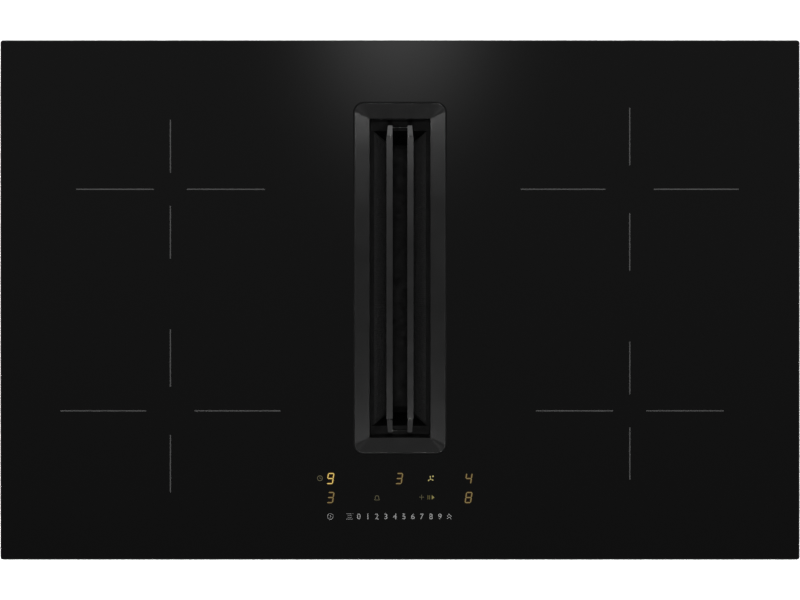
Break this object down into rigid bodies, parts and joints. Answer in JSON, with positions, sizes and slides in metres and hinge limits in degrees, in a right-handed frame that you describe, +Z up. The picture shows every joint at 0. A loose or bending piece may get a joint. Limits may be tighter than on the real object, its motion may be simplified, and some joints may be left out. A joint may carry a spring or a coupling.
{
  "type": "downdraft induction cooktop",
  "caption": "Flush black glass induction cooktop with a central bevelled air intake, lift-out grille, filter and tray, and a flat extractor fan module underneath.",
  "frame": {"origin": "under the middle of the glass, level with the underside of the fan module", "axes": "+X to the user's right along the glass, +Y to the back, +Z up"},
  "size_m": [0.8, 0.52, 0.2012],
  "materials": {
    "black_glass": "polished black glass-ceramic",
    "foam_seal": "closed-cell foam tape",
    "black_metal": "satin black coating",
    "gasket_rubber": "matte silicone",
    "filter_steel": "dark stainless mesh",
    "galvanised": "galvanised sheet",
    "aluminium": "mill finish",
    "black_plastic": "fine-textured moulded plastic",
    "grey_plastic": "fine-textured moulded plastic",
    "white_plastic": "moulded plastic",
    "copper": "enamelled copper wire",
    "circuit": "solder-masked circuit board",
    "amber_light": "amber lit display",
    "grey_print": "fired grey print"
  },
  "bodies": {
    "root": {"glass_plate": "black_glass", "worktop_seal": "foam_seal", "intake_bezel": "black_metal", "bezel_gasket": "gasket_rubber", "intake_shaft": "black_plastic", "casing_left": "galvanised", "casing_right": "galvanised", "shield_plate_left": "aluminium", "shield_plate_right": "aluminium", "power_board_left": "circuit", "power_board_right": "circuit", "heatsink_left": "aluminium", "heatsink_right": "aluminium", "cooling_fan_frame_left": "black_plastic", "cooling_fan_frame_right": "black_plastic", "induction_coil_front_left": "copper", "induction_coil_rear_left": "copper", "induction_coil_front_right": "copper", "induction_coil_rear_right": "copper", "coil_carrier_front_left": "white_plastic", "coil_carrier_rear_left": "white_plastic", "coil_carrier_front_right": "white_plastic", "coil_carrier_rear_right": "white_plastic", "zone_sensor_front_left": "white_plastic", "zone_sensor_rear_left": "white_plastic", "zone_sensor_front_right": "white_plastic", "zone_sensor_rear_right": "white_plastic", "control_carrier": "black_plastic", "control_board": "circuit", "display_light_guide": "white_plastic", "spring_clip_front_left": "galvanised", "spring_clip_rear_left": "galvanised", "spring_clip_front_right": "galvanised", "spring_clip_rear_right": "galvanised", "terminal_box": "grey_plastic", "terminal_cover": "grey_plastic", "terminal_block": "white_plastic", "cable_gland": "black_plastic", "module_base": "black_plastic", "module_cover": "black_plastic", "scroll_housing": "grey_plastic", "scroll_cover": "grey_plastic", "motor_stator": "copper", "outlet_spigot": "grey_plastic", "flap_pin": "galvanised", "fan_control_box": "grey_plastic"},
    "tray": {"overflow_tray": "grey_plastic"},
    "filter": {"filter_frame": "filter_steel", "filter_mesh_left": "filter_steel", "filter_mesh_right": "filter_steel"},
    "grille": {"cover_grille": "black_metal"},
    "fan_wheel": {"impeller": "black_plastic", "motor_rotor": "galvanised"},
    "left_rotor": {"cooling_fan_rotor_left": "black_plastic"},
    "right_rotor": {"cooling_fan_rotor_right": "black_plastic"},
    "flap": {"backdraft_flap": "black_plastic"}
  },
  "joints": [
    {"name": "tray_lift", "type": "slide", "parent": "root", "child": "tray", "axis": [0, 0, 1], "range_m": [0, 0.21]},
    {"name": "filter_lift", "type": "slide", "parent": "tray", "child": "filter", "axis": [0, 0, 1], "range_m": [0, 0.12]},
    {"name": "grille_lift", "type": "slide", "parent": "filter", "child": "grille", "axis": [0, 0, 1], "range_m": [0, 0.05]},
    {"name": "fan_spin", "type": "hinge", "parent": "root", "child": "fan_wheel", "pos_m": [0.2, 0.02, 0.05], "axis": [0, 0, 1], "continuous": true},
    {"name": "left_cooler_spin", "type": "hinge", "parent": "root", "child": "left_rotor", "pos_m": [-0.3228, 0, 0.157], "axis": [0, 0, 1], "continuous": true},
    {"name": "right_cooler_spin", "type": "hinge", "parent": "root", "child": "right_rotor", "pos_m": [0.3228, 0, 0.157], "axis": [0, 0, 1], "continuous": true},
    {"name": "flap_swing", "type": "hinge", "parent": "root", "child": "flap", "pos_m": [0.237, 0.1683, 0.0893], "axis": [1, 0, 0], "range_deg": [0, 78]}
  ]
}
